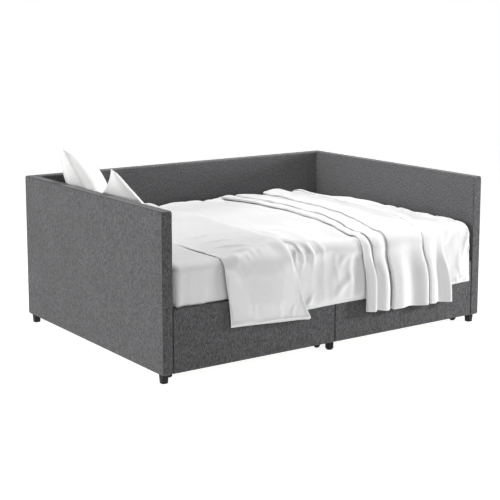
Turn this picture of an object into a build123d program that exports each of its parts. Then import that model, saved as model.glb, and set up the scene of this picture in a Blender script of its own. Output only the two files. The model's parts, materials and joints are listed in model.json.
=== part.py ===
from build123d import *
import os

# An upholstered daybed for a full-size mattress, with two drawers that roll out of its front.
# Millimetres. +X runs along the bed to its right arm, the front faces -Y, +Z is up and the floor is Z = 0.

# ---------------------------------------------------------------- driving dimensions
panel_height = 774
foot_height = 46
arm_thickness = 55
back_thickness = 62
cover_thickness = 8
cover_round = 7

mattress_length = 1902
mattress_width = 1369
mattress_height = 198
mattress_round = 28
sheet_thickness = 1.5
mattress_setback = 12
mattress_end_gap = 12.5
mattress_back_gap = 10

rail_width = 34
rail_height = 50
rail_wall = 2
rail_clearance = 32
slat_thickness = 16
slat_width = 80
slat_count = 12
bracket_plate = 4
bolt_radius = 4

foot_top_radius = 19
foot_bottom_radius = 16
foot_inset_y = 42
leg_radius = 16
leg_pad_height = 6
front_rail_gap = 4
rear_rail_gap = 8
corner_bolt_inset = 137

drawer_front_thickness = 24
drawer_front_rise = 2
drawer_front_drop = 4
drawer_cover_thickness = 4
drawer_side_gap = 3
drawer_centre_gap = 4
drawer_box_inset = 20
drawer_back_gap = 56
drawer_box_height = 200
drawer_board = 15
drawer_bottom_thickness = 9
drawer_front_screw_rise = 60

wheel_radius = 24
wheel_width = 14
axle_radius = 4
axle_clearance = 0.4
fork_plate = 2
fork_clearance = 1.5
fork_length = 46
caster_inset_x = 35
caster_front_y = 105
caster_back_inset = 80

duvet_left_x = 340
duvet_right_gap = 25
duvet_thickness = 40
turnback_width = 420
turnback_thickness = 24
duvet_front = 24
duvet_hem_drop = 148
split_rise = 16
throw_right_gap = 150
throw_width = 520
throw_thickness = 8
throw_hem_drop = 220
cloth_gap = 2
soft_gap = 1

pillow_size = 420

# ---------------------------------------------------------------- derived places
corner = (Align.MIN, Align.MIN, Align.MIN)
bed_length = mattress_length + 2 * (sheet_thickness + mattress_end_gap + arm_thickness)
bed_depth = mattress_setback + mattress_width + 2 * sheet_thickness + mattress_back_gap + back_thickness
drape_proud = duvet_front + cloth_gap + throw_thickness
front_y = drape_proud - (bed_depth + drape_proud) / 2
back_y = front_y + bed_depth
left_x = -bed_length / 2
right_x = bed_length / 2
arm_top = foot_height + panel_height
inner_left = left_x + arm_thickness
inner_right = right_x - arm_thickness
inner_length = inner_right - inner_left
back_front_y = back_y - back_thickness
core_arm = arm_thickness - 2 * cover_thickness
core_back = back_thickness - 2 * cover_thickness

drawer_front_bottom = foot_height + drawer_front_rise
drawer_front_width = (inner_length - 2 * drawer_side_gap - drawer_centre_gap) / 2
drawer_box_bottom = 2 * wheel_radius + 12
drawer_box_top = drawer_box_bottom + drawer_box_height
rail_bottom = drawer_box_top + rail_clearance
rail_top = rail_bottom + rail_height
slat_top = rail_top + slat_thickness
drawer_front_top = slat_top - drawer_front_drop
mattress_y = front_y + mattress_setback
mattress_top = slat_top + mattress_height
sheet_top = mattress_top + sheet_thickness
duvet_bottom = sheet_top + soft_gap
duvet_top = duvet_bottom + duvet_thickness
turnback_top = duvet_top + turnback_thickness
throw_bottom = duvet_top + soft_gap
throw_top = throw_bottom + throw_thickness

front_rail_y = front_y + drawer_front_thickness + front_rail_gap
rear_rail_y = back_front_y - rail_width - rear_rail_gap
centre_rail_y = (front_rail_y + rear_rail_y) / 2
rail_ys = [front_rail_y, centre_rail_y, rear_rail_y]
drawer_box_depth = centre_rail_y - drawer_back_gap - front_y - drawer_front_thickness

os.makedirs("parts", exist_ok=True)


def save(part, name):
    part.label = name
    export_step(part, f"parts/{name}.step")


# ---------------------------------------------------------------- arms and back
bolt_rise = [rail_bottom + 14, rail_bottom + rail_height - 14]
bolt_reach = 30
bolt_head_radius = 7
bolt_head_height = 4
corner_bolt_heights = [
    foot_height + corner_bolt_inset,
    foot_height + panel_height / 2,
    arm_top - corner_bolt_inset,
]
corner_bolt_length = 2 * cover_thickness + 2 * 24
corner_bolt_y = back_front_y + back_thickness / 2
stud_radius = 4
stud_length = 30
foot_inset_x = arm_thickness / 2
foot_spots = [
    (left_x + foot_inset_x, front_y + foot_inset_y, "front_left_foot"),
    (right_x - foot_inset_x, front_y + foot_inset_y, "front_right_foot"),
    (left_x + foot_inset_x, back_y - foot_inset_y, "rear_left_foot"),
    (right_x - foot_inset_x, back_y - foot_inset_y, "rear_right_foot"),
]
rail_bolt_spots = [(y + rail_width / 2, z) for y in rail_ys for z in bolt_rise]


def make_arm(name, outer_x, inner_x):
    """An arm's board core and its padded cover, between its outer and inner face."""
    low_x = min(outer_x, inner_x)
    foot_holes = [(x, y, foot_height) for x, y, _ in foot_spots if low_x < x < low_x + arm_thickness]
    bolt_holes = [(inner_x, y, z) for y, z in rail_bolt_spots]
    corner_holes = [(inner_x, corner_bolt_y, z) for z in corner_bolt_heights]

    with BuildPart() as core:
        with Locations((low_x + cover_thickness, front_y + cover_thickness, foot_height)):
            Box(core_arm, bed_depth - 2 * cover_thickness, panel_height - cover_thickness, align=corner)
        with Locations(*bolt_holes):
            Cylinder(bolt_radius, 2 * bolt_reach, rotation=(0, 90, 0), mode=Mode.SUBTRACT)
        with Locations(*corner_holes):
            Cylinder(bolt_radius, corner_bolt_length, rotation=(0, 90, 0), mode=Mode.SUBTRACT)
        with Locations(*foot_holes):
            Cylinder(stud_radius, 2 * stud_length, mode=Mode.SUBTRACT)
    save(core.part, f"{name}_core")

    with BuildPart() as cover:
        with Locations((low_x, front_y, foot_height)):
            Box(arm_thickness, bed_depth, panel_height, align=corner)
        fillet(cover.edges(), radius=cover_round)
        with Locations((low_x + cover_thickness, front_y + cover_thickness, foot_height)):
            Box(
                core_arm,
                bed_depth - 2 * cover_thickness,
                panel_height - cover_thickness,
                align=corner,
                mode=Mode.SUBTRACT,
            )
        with Locations(*bolt_holes, *corner_holes):
            Cylinder(bolt_radius, 3 * cover_thickness, rotation=(0, 90, 0), mode=Mode.SUBTRACT)
    save(cover.part, f"{name}_cover")


make_arm("left_arm", left_x, inner_left)
make_arm("right_arm", right_x, inner_right)

back_bolt_holes = [(x, corner_bolt_y, z) for x in (inner_left, inner_right) for z in corner_bolt_heights]

with BuildPart() as back_core:
    with Locations((inner_left + cover_thickness, back_front_y + cover_thickness, foot_height)):
        Box(inner_length - 2 * cover_thickness, core_back, panel_height - cover_thickness, align=corner)
    with Locations(*back_bolt_holes):
        Cylinder(bolt_radius, corner_bolt_length, rotation=(0, 90, 0), mode=Mode.SUBTRACT)
save(back_core.part, "back_core")

with BuildPart() as back_cover:
    with Locations((inner_left, back_front_y, foot_height)):
        Box(inner_length, back_thickness, panel_height, align=corner)
    fillet(back_cover.edges().filter_by(Axis.X), radius=cover_round)
    with Locations((inner_left + cover_thickness, back_front_y + cover_thickness, foot_height)):
        Box(
            inner_length - 2 * cover_thickness,
            core_back,
            panel_height - cover_thickness,
            align=corner,
            mode=Mode.SUBTRACT,
        )
    with Locations(*back_bolt_holes):
        Cylinder(bolt_radius, 3 * cover_thickness, rotation=(0, 90, 0), mode=Mode.SUBTRACT)
save(back_cover.part, "back_cover")

with BuildPart() as corner_bolts:
    with Locations(*back_bolt_holes):
        Cylinder(bolt_radius, corner_bolt_length, rotation=(0, 90, 0))
save(corner_bolts.part, "corner_bolts")

# ---------------------------------------------------------------- feet
for foot_x, foot_y, foot_name in foot_spots:
    with BuildPart() as foot:
        with BuildSketch(Plane.XY.offset(foot_height)) as foot_top:
            with Locations((foot_x, foot_y)):
                RectangleRounded(2 * foot_top_radius, 2 * foot_top_radius, 8)
        with BuildSketch(Plane.XY) as foot_bottom:
            with Locations((foot_x, foot_y)):
                RectangleRounded(2 * foot_bottom_radius, 2 * foot_bottom_radius, 8)
        loft()
    save(foot.part, foot_name)

with BuildPart() as foot_studs:
    for foot_x, foot_y, _ in foot_spots:
        with Locations((foot_x, foot_y, foot_height)):
            Cylinder(stud_radius, stud_length, align=(Align.CENTER, Align.CENTER, Align.MIN))
save(foot_studs.part, "foot_studs")

# ---------------------------------------------------------------- rails, brackets and bolts
slat_pitch = (mattress_length - slat_width) / (slat_count - 1)
slat_xs = [-mattress_length / 2 + slat_width / 2 + slat_pitch * i for i in range(slat_count)]
slat_front = front_rail_y
slat_length = rear_rail_y + rail_width - slat_front
screw_radius = 2.5
screw_depth = 18
screw_head_radius = 5
screw_head_height = 2.5
screw_spots = [(x, y + rail_width / 2) for x in slat_xs for y in (front_rail_y, rear_rail_y)]
bracket_width = rail_width + 8
bracket_drop = 10

rail_names = ["front_rail", "centre_rail", "rear_rail"]
for rail_name, rail_y in zip(rail_names, rail_ys):
    with BuildPart() as rail:
        with Locations((inner_left + bracket_plate, rail_y, rail_bottom)):
            Box(inner_length - 2 * bracket_plate, rail_width, rail_height, align=corner)
        with Locations((inner_left, rail_y + rail_wall, rail_bottom + rail_wall)):
            Box(
                inner_length,
                rail_width - 2 * rail_wall,
                rail_height - 2 * rail_wall,
                align=corner,
                mode=Mode.SUBTRACT,
            )
        own_screws = [(x, y, rail_top) for x, y in screw_spots if rail_y < y < rail_y + rail_width]
        if own_screws:
            with Locations(*own_screws):
                Cylinder(screw_radius, 3 * rail_wall, mode=Mode.SUBTRACT)
    save(rail.part, rail_name)

with BuildPart() as rail_brackets:
    for rail_y in rail_ys:
        for plate_x in (inner_left, inner_right - bracket_plate):
            with Locations((plate_x, rail_y - 4, rail_bottom - bracket_drop)):
                Box(bracket_plate, bracket_width, rail_height + bracket_drop, align=corner)
        shelf_length = 40
        for shelf_x in (inner_left + bracket_plate, inner_right - bracket_plate - shelf_length):
            with Locations((shelf_x, rail_y, rail_bottom - bracket_plate)):
                Box(shelf_length, rail_width, bracket_plate, align=corner)
    with Locations(*[(x, y, z) for x in (inner_left, inner_right) for y, z in rail_bolt_spots]):
        Cylinder(bolt_radius, 3 * bracket_plate, rotation=(0, 90, 0), mode=Mode.SUBTRACT)
save(rail_brackets.part, "rail_brackets")

with BuildPart() as rail_bolts:
    for wall_x, inward in ((inner_left, 1), (inner_right, -1)):
        shank_x = wall_x + inward * (bracket_plate - bolt_reach) / 2
        head_x = wall_x + inward * (bracket_plate + bolt_head_height / 2)
        with Locations(*[(shank_x, y, z) for y, z in rail_bolt_spots]):
            Cylinder(bolt_radius, bolt_reach + bracket_plate, rotation=(0, 90, 0))
        with Locations(*[(head_x, y, z) for y, z in rail_bolt_spots]):
            Cylinder(bolt_head_radius, bolt_head_height, rotation=(0, 90, 0))
save(rail_bolts.part, "rail_bolts")

# ---------------------------------------------------------------- tall legs under the rails
leg_spots = [
    (0, front_rail_y + rail_width / 2, "front_centre_leg"),
    (-inner_length / 6, centre_rail_y + rail_width / 2, "centre_leg_left"),
    (inner_length / 6, centre_rail_y + rail_width / 2, "centre_leg_right"),
]
for leg_x, leg_y, leg_name in leg_spots:
    with BuildPart() as leg:
        with Locations((leg_x, leg_y, leg_pad_height)):
            Box(
                2 * leg_radius,
                2 * leg_radius,
                rail_bottom - leg_pad_height,
                align=(Align.CENTER, Align.CENTER, Align.MIN),
            )
        fillet(leg.edges().filter_by(Axis.Z), radius=4)
    save(leg.part, leg_name)

with BuildPart() as leg_pads:
    for leg_x, leg_y, _ in leg_spots:
        with Locations((leg_x, leg_y, 0)):
            Cylinder(leg_radius, leg_pad_height, align=(Align.CENTER, Align.CENTER, Align.MIN))
save(leg_pads.part, "leg_pads")

# ---------------------------------------------------------------- slats
with BuildPart() as slats:
    with Locations(*[(x, slat_front, rail_top) for x in slat_xs]):
        Box(slat_width, slat_length, slat_thickness, align=(Align.CENTER, Align.MIN, Align.MIN))
    with Locations(*[(x, y, rail_top) for x, y in screw_spots]):
        Cylinder(screw_radius, 3 * slat_thickness, mode=Mode.SUBTRACT)
    with Locations(*[(x, y, slat_top) for x, y in screw_spots]):
        Cylinder(screw_head_radius, 2 * screw_head_height, mode=Mode.SUBTRACT)
save(slats.part, "slats")

with BuildPart() as slat_screws:
    with Locations(*[(x, y, slat_top) for x, y in screw_spots]):
        Cylinder(screw_radius, screw_depth, align=(Align.CENTER, Align.CENTER, Align.MAX))
        Cylinder(screw_head_radius, screw_head_height, align=(Align.CENTER, Align.CENTER, Align.MAX))
save(slat_screws.part, "slat_screws")


# ---------------------------------------------------------------- mattress and fitted sheet
def mattress_block(grow, base_z, height, mode=Mode.ADD):
    """A block of the mattress's outline, grown all round, with round upright corners and top edge."""
    with BuildPart(mode=mode) as block:
        with BuildSketch(Plane.XY.offset(base_z)):
            with Locations((0, mattress_y + sheet_thickness + mattress_width / 2)):
                RectangleRounded(
                    mattress_length + 2 * grow, mattress_width + 2 * grow, mattress_round + grow
                )
        extrude(amount=height)
        fillet(block.faces().sort_by(Axis.Z)[-1].edges(), radius=mattress_round + grow - 1)
    return block.part


mattress = mattress_block(0, slat_top, mattress_height)
save(mattress, "mattress")

with BuildPart() as fitted_sheet:
    add(mattress_block(sheet_thickness, slat_top, mattress_height + sheet_thickness))
    add(mattress_block(0, slat_top, mattress_height), mode=Mode.SUBTRACT)
save(fitted_sheet.part, "fitted_sheet")

# ---------------------------------------------------------------- duvet and throw
duvet_x = left_x + duvet_left_x
duvet_right = inner_right - duvet_right_gap
cloth_back = back_front_y - 4
drop_inner = mattress_y - soft_gap
duvet_face = front_y - duvet_front
throw_right = duvet_right - throw_right_gap
throw_x = throw_right - throw_width
split_z = drawer_front_top + split_rise
throw_face = front_y - drape_proud
duvet_round = 26


def draped(low_x, high_x, face_y, top_z, thickness, inner_y, inner_round, outer_round):
    """Cloth lying on the bed and bent down over its front edge, as one bar of L section."""
    under_z = top_z - thickness
    with BuildPart(mode=Mode.PRIVATE) as cloth:
        with BuildSketch(Plane.YZ.offset(low_x)):
            with BuildLine():
                Polyline(
                    (inner_y, split_z),
                    (face_y, split_z),
                    (face_y, top_z - outer_round),
                    (face_y + outer_round, top_z),
                    (cloth_back, top_z),
                    (cloth_back, under_z),
                    (inner_y + inner_round, under_z),
                )
                if inner_round > 0:
                    Line((inner_y + inner_round, under_z), (inner_y, under_z - inner_round))
                Line((inner_y, under_z - inner_round), (inner_y, split_z))
            make_face()
        extrude(amount=high_x - low_x)
    return cloth.part


def hem(name, low_x, high_x, face_y, inner_y, drop):
    """The part of a cloth that hangs in front of a drawer."""
    with BuildPart() as cloth:
        with Locations((low_x, face_y, split_z)):
            Box(high_x - low_x, inner_y - face_y, drop, align=(Align.MIN, Align.MIN, Align.MAX))
    save(cloth.part, name)


with BuildPart() as duvet:
    add(draped(duvet_x, duvet_right, duvet_face, duvet_top, duvet_thickness, drop_inner, 0, duvet_round))
    with Locations((duvet_x, duvet_face + 2 * duvet_round, duvet_top)):
        Box(turnback_width, cloth_back - duvet_face - 3 * duvet_round, turnback_thickness, align=corner)
save(duvet.part, "duvet")

throw_inner = throw_face + throw_thickness
throw_round = duvet_round + throw_thickness * (2 - 2**0.5)
throw = draped(
    throw_x, throw_right, throw_face, throw_top, throw_thickness, throw_inner, duvet_round, throw_round
)
save(throw, "throw")

hem("duvet_hem_left", duvet_x, -soft_gap, duvet_face, front_y - cloth_gap, duvet_hem_drop)
hem("duvet_hem_right", soft_gap, duvet_right, duvet_face, front_y - cloth_gap, duvet_hem_drop)
hem("throw_hem", throw_x, throw_right, throw_face, throw_inner, throw_hem_drop)


# ---------------------------------------------------------------- pillows
pillow_rest = sheet_top + soft_gap
rear_pillow_thickness = pillow_size / 2.8
front_pillow_thickness = pillow_size / 3.5


def make_pillow(name, centre, yaw, lean, roll, thickness):
    """A square pillow, widest at its middle seam and flattened where it meets the bed.

    Its open face looks along yaw, it leans back from upright, and it rolls within its own plane.
    """
    face = 0.6 * pillow_size
    facing = Location(centre, (0, 0, yaw))
    leaning = Location((0, 0, 0), (0, 90 - lean, 0))
    rolled = Location((0, 0, 0), (0, 0, roll))
    plane = Plane(facing * leaning * rolled)
    with BuildPart() as pillow:
        for height, size in ((-thickness / 2, face), (0, pillow_size), (thickness / 2, face)):
            with BuildSketch(plane.offset(height)):
                RectangleRounded(size, size, size / 10)
        loft(ruled=True)
        with Locations((left_x, front_y, 0)):
            Box(bed_length, bed_depth, pillow_rest, align=corner, mode=Mode.SUBTRACT)
        with Locations((duvet_x - soft_gap, front_y, 0)):
            Box(bed_length, bed_depth, turnback_top + soft_gap, align=corner, mode=Mode.SUBTRACT)
    save(pillow.part, name)


make_pillow(
    "rear_pillow",
    (
        inner_left + 0.419 * pillow_size,
        back_front_y - 0.636 * pillow_size,
        pillow_rest + 0.529 * pillow_size,
    ),
    yaw=-35,
    lean=28,
    roll=-10,
    thickness=rear_pillow_thickness,
)
make_pillow(
    "front_pillow",
    (
        inner_left + 0.403 * pillow_size,
        back_front_y - 1.774 * pillow_size,
        pillow_rest + 0.343 * pillow_size,
    ),
    yaw=0,
    lean=32,
    roll=57,
    thickness=front_pillow_thickness,
)


# ---------------------------------------------------------------- drawers
def make_drawer(name, front_x):
    """One drawer: padded front, four boards and a bottom, four casters; front_x is its front's left end."""
    box_x = front_x + drawer_box_inset
    box_width = drawer_front_width - 2 * drawer_box_inset
    box_y = front_y + drawer_front_thickness
    box_back = box_y + drawer_box_depth
    inner_x = box_x + drawer_board
    inner_width = box_width - 2 * drawer_board
    front_height = drawer_front_top - drawer_front_bottom
    screw_spots = [
        (box_x + share * box_width, z)
        for share in (0.1, 0.5, 0.9)
        for z in (drawer_box_bottom + drawer_front_screw_rise, drawer_box_top - drawer_front_screw_rise)
    ]
    screw_reach = 12

    with BuildPart() as core:
        with Locations(
            (
                front_x + drawer_cover_thickness,
                front_y + drawer_cover_thickness,
                drawer_front_bottom + drawer_cover_thickness,
            )
        ):
            Box(
                drawer_front_width - 2 * drawer_cover_thickness,
                drawer_front_thickness - drawer_cover_thickness,
                front_height - 2 * drawer_cover_thickness,
                align=corner,
            )
        with Locations(*[(x, box_y, z) for x, z in screw_spots]):
            Cylinder(screw_radius, 2 * screw_reach, rotation=(90, 0, 0), mode=Mode.SUBTRACT)
    save(core.part, f"{name}_front_core")

    with BuildPart() as cover:
        with Locations((front_x, front_y, drawer_front_bottom)):
            Box(drawer_front_width, drawer_front_thickness, front_height, align=corner)
        fillet(cover.faces().sort_by(Axis.Y)[0].edges(), radius=drawer_cover_thickness - 0.5)
        with Locations(
            (
                front_x + drawer_cover_thickness,
                front_y + drawer_cover_thickness,
                drawer_front_bottom + drawer_cover_thickness,
            )
        ):
            Box(
                drawer_front_width - 2 * drawer_cover_thickness,
                drawer_front_thickness,
                front_height - 2 * drawer_cover_thickness,
                align=corner,
                mode=Mode.SUBTRACT,
            )
    save(cover.part, f"{name}_front_cover")

    for side_name, side_x in (("left", box_x), ("right", box_x + box_width - drawer_board)):
        with BuildPart() as side:
            with Locations((side_x, box_y, drawer_box_bottom)):
                Box(drawer_board, drawer_box_depth, drawer_box_height, align=corner)
        save(side.part, f"{name}_{side_name}_side")

    with BuildPart() as front_board:
        with Locations((inner_x, box_y, drawer_box_bottom)):
            Box(inner_width, drawer_board, drawer_box_height, align=corner)
        with Locations(*[(x, box_y, z) for x, z in screw_spots]):
            Cylinder(screw_radius, 4 * drawer_board, rotation=(90, 0, 0), mode=Mode.SUBTRACT)
    save(front_board.part, f"{name}_front_board")

    with BuildPart() as back_board:
        with Locations((inner_x, box_back - drawer_board, drawer_box_bottom)):
            Box(inner_width, drawer_board, drawer_box_height, align=corner)
    save(back_board.part, f"{name}_back_board")

    with BuildPart() as bottom:
        with Locations((inner_x, box_y + drawer_board, drawer_box_bottom)):
            Box(inner_width, drawer_box_depth - 2 * drawer_board, drawer_bottom_thickness, align=corner)
    save(bottom.part, f"{name}_bottom")

    with BuildPart() as screws:
        with Locations(*[(x, box_y + drawer_board, z) for x, z in screw_spots]):
            Cylinder(
                screw_radius,
                drawer_board + screw_reach,
                rotation=(90, 0, 0),
                align=(Align.CENTER, Align.CENTER, Align.MIN),
            )
        with Locations(*[(x, box_y + drawer_board + screw_head_height / 2, z) for x, z in screw_spots]):
            Cylinder(screw_head_radius, screw_head_height, rotation=(90, 0, 0))
    save(screws.part, f"{name}_screws")

    front_row = front_y + caster_front_y
    back_row = box_back - caster_back_inset
    caster_spots = [
        (front_x + caster_inset_x, front_row, "front_left"),
        (front_x + drawer_front_width - caster_inset_x, front_row, "front_right"),
        (front_x + caster_inset_x, back_row, "back_left"),
        (front_x + drawer_front_width - caster_inset_x, back_row, "back_right"),
    ]
    fork_inner = wheel_width / 2 + fork_clearance
    fork_drop = drawer_box_bottom - wheel_radius + 9

    with BuildPart() as forks:
        for x, y, _ in caster_spots:
            with Locations((x, y, drawer_box_bottom)):
                Box(
                    2 * (fork_inner + fork_plate),
                    fork_length,
                    fork_plate,
                    align=(Align.CENTER, Align.CENTER, Align.MAX),
                )
            for cheek in (x - fork_inner - fork_plate / 2, x + fork_inner + fork_plate / 2):
                with Locations((cheek, y, drawer_box_bottom)):
                    Box(fork_plate, 22, fork_drop, align=(Align.CENTER, Align.CENTER, Align.MAX))
        with Locations(*[(x, y, wheel_radius) for x, y, _ in caster_spots]):
            Cylinder(axle_radius, 40, rotation=(0, 90, 0), mode=Mode.SUBTRACT)
    save(forks.part, f"{name}_caster_forks")

    with BuildPart() as axles:
        with Locations(*[(x, y, wheel_radius) for x, y, _ in caster_spots]):
            Cylinder(axle_radius, 2 * (fork_inner + fork_plate), rotation=(0, 90, 0))
    save(axles.part, f"{name}_axles")

    for x, y, place in caster_spots:
        with BuildPart() as wheel:
            with BuildSketch(Plane.YZ.offset(x - wheel_width / 2)):
                with Locations((y, wheel_radius)):
                    Circle(wheel_radius)
                    Circle(axle_radius + axle_clearance, mode=Mode.SUBTRACT)
            extrude(amount=wheel_width)
            fillet(wheel.edges().filter_by(GeomType.CIRCLE).group_by(SortBy.RADIUS)[-1], radius=3)
        save(wheel.part, f"{name}_{place}_wheel")


make_drawer("left_drawer", inner_left + drawer_side_gap)
make_drawer("right_drawer", inner_right - drawer_side_gap - drawer_front_width)
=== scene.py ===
import json
import math

import bmesh
import bpy
import numpy as np
from mathutils import Matrix, Vector, noise
from mathutils.bvhtree import BVHTree


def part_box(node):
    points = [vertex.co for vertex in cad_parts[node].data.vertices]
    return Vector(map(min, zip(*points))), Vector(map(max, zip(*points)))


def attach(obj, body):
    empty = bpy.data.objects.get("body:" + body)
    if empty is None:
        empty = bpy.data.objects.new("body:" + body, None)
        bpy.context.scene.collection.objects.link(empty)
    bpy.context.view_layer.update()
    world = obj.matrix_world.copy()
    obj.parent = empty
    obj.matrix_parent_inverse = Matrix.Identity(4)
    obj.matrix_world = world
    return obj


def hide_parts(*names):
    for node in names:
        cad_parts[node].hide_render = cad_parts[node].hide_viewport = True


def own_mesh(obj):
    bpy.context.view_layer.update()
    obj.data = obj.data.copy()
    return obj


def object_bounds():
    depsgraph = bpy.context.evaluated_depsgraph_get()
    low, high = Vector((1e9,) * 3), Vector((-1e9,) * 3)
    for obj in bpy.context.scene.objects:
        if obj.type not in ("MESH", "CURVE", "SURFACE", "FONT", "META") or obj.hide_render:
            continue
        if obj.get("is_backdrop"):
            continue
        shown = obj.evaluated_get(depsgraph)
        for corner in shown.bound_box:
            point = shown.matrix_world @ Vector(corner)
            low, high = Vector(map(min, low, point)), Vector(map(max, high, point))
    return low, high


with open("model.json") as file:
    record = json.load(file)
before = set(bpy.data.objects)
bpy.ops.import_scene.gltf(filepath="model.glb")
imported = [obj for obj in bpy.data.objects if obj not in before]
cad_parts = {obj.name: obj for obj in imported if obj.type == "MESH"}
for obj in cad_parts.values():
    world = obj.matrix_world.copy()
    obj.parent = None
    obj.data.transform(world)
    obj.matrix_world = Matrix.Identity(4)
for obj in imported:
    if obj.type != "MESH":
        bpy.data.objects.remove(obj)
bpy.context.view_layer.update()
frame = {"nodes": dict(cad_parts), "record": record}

# Looks for an upholstered daybed with two roll-out drawers and its bedding. Metres, in the CAD frame:
# +X along the bed to its right arm, the front faces -Y, +Z up, the floor at Z = 0.

# ---------------------------------------------------------------- places read from the frame
left_arm_low, left_arm_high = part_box("left_arm_cover")
right_arm_low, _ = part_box("right_arm_cover")
back_low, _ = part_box("back_cover")
_, sheet_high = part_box("fitted_sheet")
_, hem_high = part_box("duvet_hem_left")

# the left arm's outer and front faces, the inner faces of the arms and the back, and two heights
LEFT = left_arm_low[0]
FRONT = left_arm_low[1]
INNER_LEFT = left_arm_high[0]
INNER_RIGHT = right_arm_low[0]
BACK_FACE = back_low[1]
ARM_TOP = left_arm_high[2]
SHEET_TOP = sheet_high[2]
# hanging cloth is cut at this height, and at this place along the bed, where the two drawers meet
SPLIT_Z = hem_high[2]
MIDDLE_X = 0.0


def smooth(t):
    """0 to 1 with level ends."""
    t = np.clip(t, 0.0, 1.0)
    return t * t * (3 - 2 * t)


def lump(points, scale, seed):
    """Smooth seeded noise, about -1 to 1, at each point."""
    shift = Vector((seed * 7.13, seed * 3.71, seed * 5.39))
    flat = np.asarray(points, float).reshape(-1, 3)
    values = [noise.noise(Vector(p) * scale + shift) for p in flat]
    return np.array(values).reshape(np.asarray(points).shape[:-1]) * 1.6


# ---------------------------------------------------------------- meshes
def make_object(name, points, faces, material):
    """A smooth-shaded mesh in the scene, with its material and its slot in the record."""
    mesh = bpy.data.meshes.new(name)
    mesh.from_pydata([tuple(p) for p in points], [], [tuple(f) for f in faces])
    mesh.validate()
    mesh.polygons.foreach_set("use_smooth", [True] * len(mesh.polygons))
    mesh.materials.append(material)
    obj = bpy.data.objects.new(name, mesh)
    bpy.context.scene.collection.objects.link(obj)
    return obj


def grid_quads(index):
    """The faces between the points of a grid; index holds the grid's point numbers."""
    corners = [index[:-1, :-1], index[:-1, 1:], index[1:, 1:], index[1:, :-1]]
    return np.stack(corners, axis=-1).reshape(-1, 4)


def shell(name, top, bottom, material):
    """A closed cover of two grids of points that share their outline, and the lower grid's point numbers."""
    rows, columns = top.shape[:2]
    index = np.arange(rows * columns).reshape(rows, columns)
    inner = np.zeros((rows, columns), bool)
    inner[1:-1, 1:-1] = True
    under = index.copy()
    under[inner] = rows * columns + np.arange(inner.sum())
    points = np.concatenate([top.reshape(-1, 3), bottom[inner]])
    faces = np.concatenate([grid_quads(index), grid_quads(under)[:, ::-1]])
    return make_object(name, points, faces, material), under


def coordinates(obj):
    points = np.empty(len(obj.data.vertices) * 3, np.float32)
    obj.data.vertices.foreach_get("co", points)
    return points.reshape(-1, 3).astype(float)


def set_coordinates(obj, points):
    obj.data.vertices.foreach_set("co", np.asarray(points, np.float32).ravel())
    obj.data.update()


def apply_modifiers(obj):
    graph = bpy.context.evaluated_depsgraph_get()
    mesh = bpy.data.meshes.new_from_object(obj.evaluated_get(graph))
    obj.modifiers.clear()
    obj.data = mesh


def subdivide(obj):
    modifier = obj.modifiers.new("fine", "SUBSURF")
    modifier.levels = 1
    modifier.render_levels = 1
    apply_modifiers(obj)


CLOTH_STIFFNESS = 15.0
CLOTH_BENDING = 0.5


def inflate(obj, pinned, pressure, grow, cap, frames):
    """Cloth pressure on a closed cover; points numbered in pinned stay, and none moves over cap."""
    start = coordinates(obj)
    group = obj.vertex_groups.new(name="pin")
    group.add([int(i) for i in pinned], 1.0, "REPLACE")
    modifier = obj.modifiers.new("cloth", "CLOTH")
    cloth = modifier.settings
    cloth.quality = 5
    cloth.mass = 0.25
    cloth.tension_stiffness = CLOTH_STIFFNESS
    cloth.compression_stiffness = CLOTH_STIFFNESS
    cloth.shear_stiffness = CLOTH_STIFFNESS / 3
    cloth.bending_stiffness = CLOTH_BENDING
    cloth.use_pressure = True
    cloth.uniform_pressure_force = pressure
    cloth.shrink_min = -grow
    cloth.vertex_group_mass = "pin"
    cloth.effector_weights.gravity = 0.0
    modifier.collision_settings.use_collision = False
    modifier.point_cache.frame_start = 1
    modifier.point_cache.frame_end = frames
    scene = bpy.context.scene
    for number in range(1, frames + 1):
        scene.frame_set(number)
    graph = bpy.context.evaluated_depsgraph_get()
    moved = np.empty(len(start) * 3, np.float32)
    obj.evaluated_get(graph).data.vertices.foreach_get("co", moved)
    moved = moved.reshape(-1, 3).astype(float)
    obj.modifiers.clear()
    obj.vertex_groups.clear()
    scene.frame_set(1)
    step = moved - start
    size = np.linalg.norm(step, axis=1, keepdims=True)
    set_coordinates(obj, start + step * np.minimum(1.0, cap / np.maximum(size, 1e-9)))


def tree_of(*objects):
    """A search tree over the finished surfaces of some objects."""
    points, faces = [], []
    for obj in objects:
        start = len(points)
        points.extend(obj.matrix_world @ v.co for v in obj.data.vertices)
        faces.extend([start + i for i in p.vertices] for p in obj.data.polygons)
    return BVHTree.FromPolygons(points, faces)


CORD_SIDES = 8


def cord(name, path, radius, material):
    """A round cord along a closed loop of points."""
    path = np.asarray(path, float)
    count = len(path)
    points = []
    for i in range(count):
        along = Vector(path[(i + 1) % count] - path[i - 1]).normalized()
        steep = abs(along.z) > 0.9
        side = (along.orthogonal() if steep else along.cross(Vector((0, 0, 1)))).normalized()
        up = side.cross(along)
        for k in range(CORD_SIDES):
            turn = 2 * math.pi * k / CORD_SIDES
            points.append(Vector(path[i]) + radius * (math.cos(turn) * side + math.sin(turn) * up))
    rings = np.arange(count * CORD_SIDES).reshape(count, CORD_SIDES)
    faces = []
    for ring, following in zip(rings, np.roll(rings, -1, axis=0)):
        faces.extend(zip(ring, following, np.roll(following, -1), np.roll(ring, -1)))
    return make_object(name, points, faces, material)


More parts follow.
